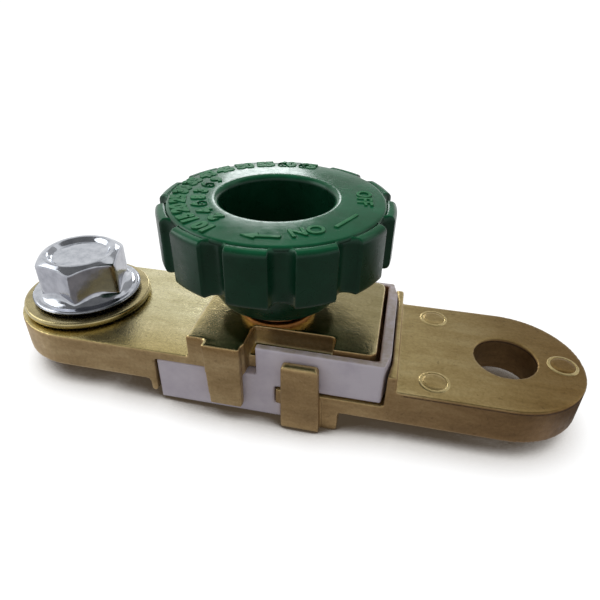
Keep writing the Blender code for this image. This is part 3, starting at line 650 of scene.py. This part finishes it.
def knob_rows():
    lobe_low = HUB_HEIGHT
    face = knob_high.z - knob_low.z
    lobe_top = face - FACE_CROWN - FACE_RISE
    rows = [(0.0, CUP_FLOOR)]
    rows += line((CUP_RADIUS * 0.3, CUP_FLOOR), (CUP_RADIUS - CUP_CORNER, CUP_FLOOR), 3)
    rows += arc(CUP_RADIUS - CUP_CORNER, CUP_FLOOR + CUP_CORNER, CUP_CORNER, -90.0, 0.0, 6)
    rows += line((CUP_RADIUS, CUP_FLOOR + CUP_CORNER * 1.1), (CUP_RADIUS, face - CUP_MOUTH), 8)
    rows += arc(CUP_RADIUS + CUP_MOUTH, face - CUP_MOUTH, CUP_MOUTH, 180.0, 90.0, 12)
    flat_start = CUP_RADIUS + CUP_MOUTH
    flat_end = FACE_RADIUS - FACE_EDGE
    for step in range(1, 13):
        share = step / 12
        radius = flat_start + (flat_end - flat_start) * share
        rows.append((radius, face - FACE_CROWN * share ** CROWN_POWER))
    rows += arc(flat_end, face - FACE_CROWN - FACE_EDGE, FACE_EDGE, 80.0, 0.0, 8)

    def shelf(start, share, height, lobes_first):
        """A row part of the way between a circle and the lobes' inner edge."""
        def row(angle):
            inner = lobe_radius(angle) - LOBE_EDGE
            first, last = (inner, start) if lobes_first else (start, inner)
            return first + (last - first) * share, height

        return row

    def corner(height, turn):
        return lambda angle: (lobe_radius(angle) - LOBE_EDGE + LOBE_EDGE * cos(turn),
                              height + LOBE_EDGE * sin(turn))

    rows += [shelf(FACE_RADIUS, step / 4, lobe_top, False) for step in range(1, 5)]
    rows += [corner(lobe_top - LOBE_EDGE, radians(90 - 15 * step)) for step in range(1, 7)]
    wall_steps = 8
    for step in range(1, wall_steps):
        height = lobe_top - LOBE_EDGE + (lobe_low - lobe_top + 2 * LOBE_EDGE) * step / wall_steps
        rows.append(lambda angle, height=height: (lobe_radius(angle), height))
    rows += [corner(lobe_low + LOBE_EDGE, radians(-15 * step)) for step in range(0, 7)]
    rows += [shelf(HUB_TOP_RADIUS, step / 4, lobe_low, True) for step in range(1, 5)]
    bulge_steps = 14
    for step in range(1, bulge_steps + 1):
        share = step / bulge_steps
        radius = HUB_TOP_RADIUS + (HUB_RADIUS - HUB_TOP_RADIUS) * share ** HUB_BULGE
        rows.append((radius, lobe_low + (HUB_EDGE - lobe_low) * share))
    rows += arc(HUB_RADIUS - HUB_EDGE, HUB_EDGE, HUB_EDGE, -15.0, -90.0, 5)
    rows.append((0.0, 0.0))
    return rows


def face_height(radius):
    """Height of the knob's face at a radius, in the frame."""
    flat_start = CUP_RADIUS + CUP_MOUTH
    share = (radius - flat_start) / (FACE_RADIUS - FACE_EDGE - flat_start)
    return knob_high.z - FACE_CROWN * max(share, 0.0) ** CROWN_POWER


def raised(name, curve, radius, turned=None):
    """Give a flat curve its height and stand it on the face at a radius from the knob's axis."""
    curve.extrude = (MARK_HEIGHT + MARK_SINK) / 2
    curve.bevel_depth = MARK_EDGE
    curve.bevel_resolution = 1
    drawn = add_piece(name, curve)
    bpy.context.view_layer.update()
    mesh = bpy.data.meshes.new_from_object(drawn.evaluated_get(bpy.context.evaluated_depsgraph_get()))
    bpy.data.objects.remove(drawn, do_unlink=True)
    mesh.name = name
    lift = face_height(radius) + (MARK_HEIGHT - MARK_SINK) / 2 - MARK_EDGE
    place = Matrix.Translation(AXIS + Vector((0.0, 0.0, lift)))
    mesh.transform(place @ turned if turned else place)
    return dress(add_piece(name, mesh), KNOB, MARK_GREEN)


def word(name, text, size, radius, degrees, weight=WORD_WEIGHT):
    """Letters whose feet point to the knob's axis."""
    curve = bpy.data.curves.new(name, "FONT")
    curve.body = text
    curve.size = size * MM
    curve.align_x = "CENTER"
    curve.align_y = "CENTER"
    curve.offset = size * MM * weight
    angle = radians(degrees)
    out = Vector((cos(angle), sin(angle), 0.0)) * radius * MM
    turned = Matrix.Translation(out) @ Matrix.Rotation(angle - pi / 2, 4, "Z")
    return raised(name, curve, radius * MM, turned)


def number_ring(name, numbers, size, radius, span):
    start, end = span
    for index, number in enumerate(numbers):
        degrees = start + (end - start) * index / (len(numbers) - 1)
        word(f"{name}_{index + 1}", number, size, radius, degrees, NUMBER_WEIGHT)


def flat_mark(name, corners):
    """A flat outline drawn from above, in millimetres from the knob's axis."""
    curve = bpy.data.curves.new(name, "CURVE")
    curve.dimensions = "2D"
    curve.fill_mode = "BOTH"
    spline = curve.splines.new("POLY")
    spline.points.add(len(corners) - 1)
    for spline_point, (x, y) in zip(spline.points, corners):
        spline_point.co = (x * MM, y * MM, 0.0, 1.0)
    spline.use_cyclic_u = True
    return raised(name, curve, Vector(corners[0]).length * MM)


def knob_pieces():
    place = AXIS + Vector((0.0, 0.0, knob_low.z))
    body = turned_grid("knob_moulding", knob_rows(), KNOB_STEPS, place)
    dress(body, KNOB, GREEN, "knob")
    word("mark_on", "ON", ON_PLACE[0], WORD_RADIUS, ON_PLACE[1])
    word("mark_off", "OFF", OFF_PLACE[0], WORD_RADIUS, OFF_PLACE[1])
    flat_mark("mark_arrow", ARROW)
    flat_mark("mark_bar", BAR)
    number_ring("outer_number", OUTER_RING, OUTER_SIZE, OUTER_RADIUS, OUTER_SPAN)
    number_ring("inner_number", INNER_RING, INNER_SIZE, INNER_RADIUS, INNER_SPAN)


# Bolt, stud and washers
def thread_depth(angle, height, pitch, depth):
    """How far a right-hand V thread is cut below the outer radius."""
    turn = (height / pitch - angle / (2 * pi)) % 1.0
    return depth * min(max(THREAD_CREST - abs(turn - 0.5) * THREAD_FLANK, 0.0), 1.0)


def thread_rows(radius, top, bottom, pitch, depth, chamfer):
    """Rows of a threaded shank from its plain neck down to its chamfered end."""
    count = int((top - bottom) / THREAD_ROW)
    rows = []
    for step in range(count + 1):
        height = top + (bottom - top) * step / count
        fade = min((top - height) / pitch, 1.0)
        limit = radius - max(chamfer - (height - bottom), 0.0)

        def row(angle, height=height, fade=fade, limit=limit):
            return min(radius - fade * thread_depth(angle, height, pitch, depth), limit), height

        rows.append(row)
    rows.append((0.0, bottom))
    return rows


def hexagon_radius(angle, across_flats, turn):
    """Outline of a hexagon with slightly rounded corners."""
    from_corner = (angle - radians(turn)) % (pi / 3)
    flat = across_flats / 2
    corner = flat / cos(pi / 6)
    sharp = flat / cos(from_corner - pi / 6)
    return smooth_less(sharp, corner * HEXAGON_CORNER, HEXAGON_BLEND * corner)


def bolt_rows():
    top = bolt_high.z
    seat = top - BOLT_HEAD_HEIGHT
    flat = BOLT_ACROSS_FLATS / 2
    rim = flat - HEAD_RIM
    floor = top - HEAD_DISH
    rows = [(0.0, floor), (DISH_RADIUS * 0.5, floor), (DISH_RADIUS - 0.2 * MM, floor)]
    dish_steps = 12
    for step in range(dish_steps + 1):
        share = step / dish_steps
        ease = share * share * (3 - 2 * share)
        rows.append((DISH_RADIUS + DISH_SLOPE * share, floor + HEAD_DISH * ease))
    rows.append((rim, top))

    def edge_height(radius):
        past = max(radius - rim, 0.0)
        return top - past * CHAMFER_SLOPE - past * past * CHAMFER_BEND

    def hexagon(angle):
        return hexagon_radius(angle, BOLT_ACROSS_FLATS, BOLT_TURN)

    chamfer_steps = 8
    for step in range(1, chamfer_steps + 1):
        share = step / chamfer_steps

        def chamfered(angle, share=share):
            radius = rim + (hexagon(angle) - HEAD_BREAK - rim) * share
            return radius, edge_height(radius)

        rows.append(chamfered)

    def foot(radius):
        share = (FLANGE_RADIUS - FLANGE_EDGE - radius) / (FLANGE_RADIUS - FLANGE_EDGE - flat)
        return seat + FLANGE_RIM + FLANGE_RISE * max(share, 0.0) ** FLANGE_POWER

    side_steps = 10
    for step in range(side_steps + 1):
        share = step / side_steps

        def side(angle, share=share):
            start = edge_height(hexagon(angle)) - HEAD_BREAK
            height = start + (foot(hexagon(angle)) + HEAD_FILLET - start) * share
            return hexagon(angle), height

        rows.append(side)
    fillet_steps = 6
    for step in range(1, fillet_steps + 1):
        turn = pi / 2 * step / fillet_steps

        def fillet(angle, turn=turn):
            radius = hexagon(angle) + HEAD_FILLET * (1 - cos(turn))
            return radius, foot(radius) + HEAD_FILLET * (1 - sin(turn))

        rows.append(fillet)
    slope_steps = 8
    for step in range(1, slope_steps):

        def slope(angle, share=step / slope_steps):
            start = hexagon(angle) + HEAD_FILLET
            radius = start + (FLANGE_RADIUS - FLANGE_EDGE - start) * share
            return radius, foot(radius)

        rows.append(slope)
    rows += arc(FLANGE_RADIUS - FLANGE_EDGE, seat + FLANGE_RIM - FLANGE_EDGE, FLANGE_EDGE, 75.0, 0.0, 5)
    rows += arc(FLANGE_RADIUS - FLANGE_EDGE, seat + FLANGE_EDGE, FLANGE_EDGE, 0.0, -90.0, 5)
    boss = washer_low.z + WASHER_VISIBLE + BOSS_GAP
    rows += [(FLANGE_RADIUS - SEAT_WIDTH, seat + SEAT_RISE),
             (BOSS_RADIUS + SEAT_HOLLOW, seat + SEAT_HOLLOW), (BOSS_RADIUS, boss), (BOLT_RADIUS, boss)]
    neck = washer_low.z
    rows += thread_rows(BOLT_RADIUS, neck, bolt_low.z, BOLT_PITCH, BOLT_THREAD, STUD_CHAMFER)
    return rows


def stud_rows():
    """Threaded stud with its collar; the collar is what seats on the contact washer."""
    collar_low = contact_high.z + COLLAR_SEAT
    collar_top = collar_low + COLLAR_THICKNESS

    def hexagon(height, inset=0.0):
        return lambda angle: (hexagon_radius(angle, STUD_ACROSS_FLATS - 2 * inset, 0.0), height)

    rows = [(0.0, stud_high.z)]
    rows += [hexagon(stud_high.z, 0.4 * MM), hexagon(stud_high.z - 0.25 * MM), hexagon(collar_top)]
    rows += [(COLLAR_RADIUS - COLLAR_CHAMFER, collar_top), (COLLAR_RADIUS, collar_top - COLLAR_CHAMFER),
             (COLLAR_RADIUS, collar_low + COLLAR_CHAMFER), (COLLAR_RADIUS - COLLAR_CHAMFER, collar_low),
             (STUD_RADIUS + STUD_NECK, collar_low)]
    rows += thread_rows(STUD_RADIUS, collar_low - STUD_NECK, stud_low.z, STUD_PITCH, STUD_THREAD,
                        STUD_CHAMFER)
    return rows


def washer_rows(hole, outer, low, high, edge):
    rows = arc(outer - edge, high - edge, edge, 90.0, 0.0, 8)
    rows += arc(outer - edge, low + edge, edge, 0.0, -90.0, 8)
    rows += arc(hole + edge / 2, low + edge / 2, edge / 2, -90.0, -180.0, 4)
    rows += arc(hole + edge / 2, high - edge / 2, edge / 2, 180.0, 90.0, 4)
    return rows


def fastener_pieces():
    bolt = turned_grid("bolt_plated", bolt_rows(), BOLT_STEPS, BOLT_AXIS)
    dress(bolt, BARS, ZINC, "terminal_bolt")
    radius = (washer_high.x - washer_low.x) / 2
    rows = washer_rows(WASHER_HOLE, radius, washer_low.z, washer_low.z + WASHER_VISIBLE, WASHER_EDGE)
    washer = turned_grid("washer_stamped", rows, WASHER_STEPS, BOLT_AXIS, closed=True)
    dress(washer, BARS, WASHER_BRASS, "terminal_washer")
    stud = turned_grid("stud_threaded", stud_rows(), BOLT_STEPS, AXIS)
    dress(stud, KNOB, STUD_BRASS, "knob_stud")
    radius = (contact_high.x - contact_low.x) / 2
    rows = washer_rows(CONTACT_HOLE, radius, contact_low.z, contact_high.z, CONTACT_EDGE)
    contact = turned_grid("contact_disc", rows, WASHER_STEPS, AXIS, closed=True)
    dress(contact, "contact", COPPER, "contact_washer")


# Stage
# Floor shade: a painted shadow, dark close under the object and white far off
FLOOR_STOPS = ((0.42, (0.06, 0.045, 0.03)), (0.60, (0.60, 0.58, 0.56)), (0.84, (0.92, 0.92, 0.92)))
FLOOR_REACH = 10 * MM         # how far round the object the floor is darker
FLOOR_SIZE = 6.0
FLOOR_DROP = 0.1 * MM
FLOOR_LIT = (0.30, 0.30, 0.30)
FLOOR_BOUNCE = (0.35, 0.35, 0.35)
CARD_LIFT = 0.2 * MM
SOFT_LIGHT = 0.50
# Cards: name, size, place, strength, tint and tilt in degrees
CARDS = (
    ("front_card", (0.334, 0.368), (0.103, -0.201, CARD_LIFT), 0.40, (1.0, 0.94, 0.90), 0.0),
    ("right_card", (0.212, 0.047), (0.164, 0.0065, CARD_LIFT), 0.16, (1.0, 0.95, 0.92), 0.0),
    ("ceiling_card", (1.6, 0.95), (0.0, -0.20, 0.60), 0.20, WHITE, 0.0),
    ("back_card", (1.2, 0.46), (0.48, 0.55, 0.40), 0.45, WHITE, 90.0),
    ("high_card", (0.15, 0.11), (-0.165, 0.50, 0.315), 0.15, WHITE, 90.0),
    ("left_card", (0.50, 0.30), (-0.49, 0.50, 0.64), 0.60, WHITE, 90.0),
)
# Lamps: name, size, watts, place, aim, colour and whether glossy surfaces show it
LAMPS = (
    ("window", (0.085, 0.09), 0.15, (-0.1175, 0.40, 0.180), (0.0, 0.0, 0.03), (0.96, 0.98, 1.0), True),
    ("upper", (0.22, 0.20), 0.40, (-0.08, 0.20, 0.42), (0.0, 0.0, 0.03), (0.96, 0.98, 1.0), False),
    ("side", (0.26, 0.22), 0.42, (-0.34, -0.04, 0.25), (0.0, 0.0, 0.02), (0.98, 0.99, 1.0), True),
)


def camera():
    tilt = radians(CAMERA_TILT)
    turn = radians(CAMERA_TURN)
    roll = radians(CAMERA_ROLL)
    forward = Vector((-sin(turn) * cos(tilt), cos(turn) * cos(tilt), -sin(tilt)))
    level = Vector((cos(turn), sin(turn), 0.0))
    upright = level.cross(forward)
    right = cos(roll) * level + sin(roll) * upright
    up = -sin(roll) * level + cos(roll) * upright
    data = bpy.data.cameras.new("camera")
    data.sensor_width = SENSOR_WIDTH
    data.lens = FOCAL_PIXELS / PICTURE_WIDTH * SENSOR_WIDTH
    data.clip_start = 0.005
    data.clip_end = 10.0
    made = bpy.data.objects.new("camera", data)
    bpy.context.scene.collection.objects.link(made)
    turned = Matrix((right, up, -forward)).transposed().to_4x4()
    turned.translation = CAMERA_PLACE
    made.matrix_world = turned
    bpy.context.scene.camera = made


def lamp(name, size, power, place, aim, colour, glossy):
    data = bpy.data.lights.new(name, "AREA")
    data.shape = "RECTANGLE"
    data.size, data.size_y = size
    data.energy = power
    data.color = colour
    made = bpy.data.objects.new(name, data)
    bpy.context.scene.collection.objects.link(made)
    made.location = place
    made.rotation_euler = (Vector(aim) - Vector(place)).to_track_quat("-Z", "Y").to_euler()
    made.visible_glossy = glossy


def floor_white():
    """White far off, with a painted shadow close under the object, and grey as a bounce."""
    material, tree, shader = new_material("floor_white")
    tree.nodes.remove(shader)
    floor_shadow_occlusion = tree.nodes.new("ShaderNodeAmbientOcclusion")
    floor_shadow_occlusion.inputs["Distance"].default_value = FLOOR_REACH
    floor_shadow_occlusion.samples = 16
    shade = tree.ramp(floor_shadow_occlusion.outputs["AO"], FLOOR_STOPS)
    white = tree.nodes.new("ShaderNodeEmission")
    tree.feed(white.inputs["Color"], shade)
    lit = tree.nodes.new("ShaderNodeBsdfDiffuse")
    tree.feed(lit.inputs["Color"], tree.tint(shade, FLOOR_LIT))
    pale = tree.nodes.new("ShaderNodeAddShader")
    tree.feed(pale.inputs[0], white.outputs["Emission"])
    tree.feed(pale.inputs[1], lit.outputs["BSDF"])
    bounce = tree.nodes.new("ShaderNodeBsdfDiffuse")
    tree.feed(bounce.inputs["Color"], FLOOR_BOUNCE)
    surface = tree.nodes["Material Output"].inputs["Surface"]
    tree.choose_seen(bounce.outputs["BSDF"], pale.outputs["Shader"], surface)
    return material


def reflection_card(name, size, place, strength, tint, tilt):
    """A plain card that only glossy surfaces show, as the photographer's room does."""
    bpy.ops.mesh.primitive_plane_add(size=1.0, location=place)
    card = bpy.context.active_object
    card.name = name
    card.scale = (*size, 1.0)
    card.rotation_euler.x = radians(tilt)
    material, tree, shader = new_material(name)
    tree.nodes.remove(shader)
    glow = tree.nodes.new("ShaderNodeEmission")
    tree.feed(glow.inputs["Color"], tint)
    tree.feed(glow.inputs["Strength"], strength)
    tree.feed(tree.nodes["Material Output"].inputs["Surface"], glow.outputs["Emission"])
    card.data.materials.append(material)
    card.visible_camera = False
    card.visible_diffuse = False
    card.visible_shadow = False
    card.visible_transmission = False


def studio():
    """A white world to look at, with a softer light from it."""
    world = bpy.data.worlds.new("studio")
    bpy.context.scene.world = world
    tree = Tree(world)
    soft = tree.nodes["Background"]
    tree.feed(soft.inputs["Color"], WHITE)
    tree.feed(soft.inputs["Strength"], SOFT_LIGHT)
    white = tree.nodes.new("ShaderNodeBackground")
    tree.feed(white.inputs["Color"], WHITE)
    surface = tree.nodes["World Output"].inputs["Surface"]
    tree.choose_seen(soft.outputs["Background"], white.outputs["Background"], surface)


def stage():
    bpy.ops.mesh.primitive_plane_add(size=FLOOR_SIZE, location=(0.0, 0.0, -FLOOR_DROP))
    ground = bpy.context.active_object
    ground.name = "floor"
    ground.data.materials.append(floor_white())
    for card in CARDS:
        reflection_card(*card)
    studio()
    for row in LAMPS:
        lamp(*row)


cast_pieces()
knob_pieces()
fastener_pieces()
camera()
stage()
bpy.context.scene.view_settings.view_transform = "Standard"
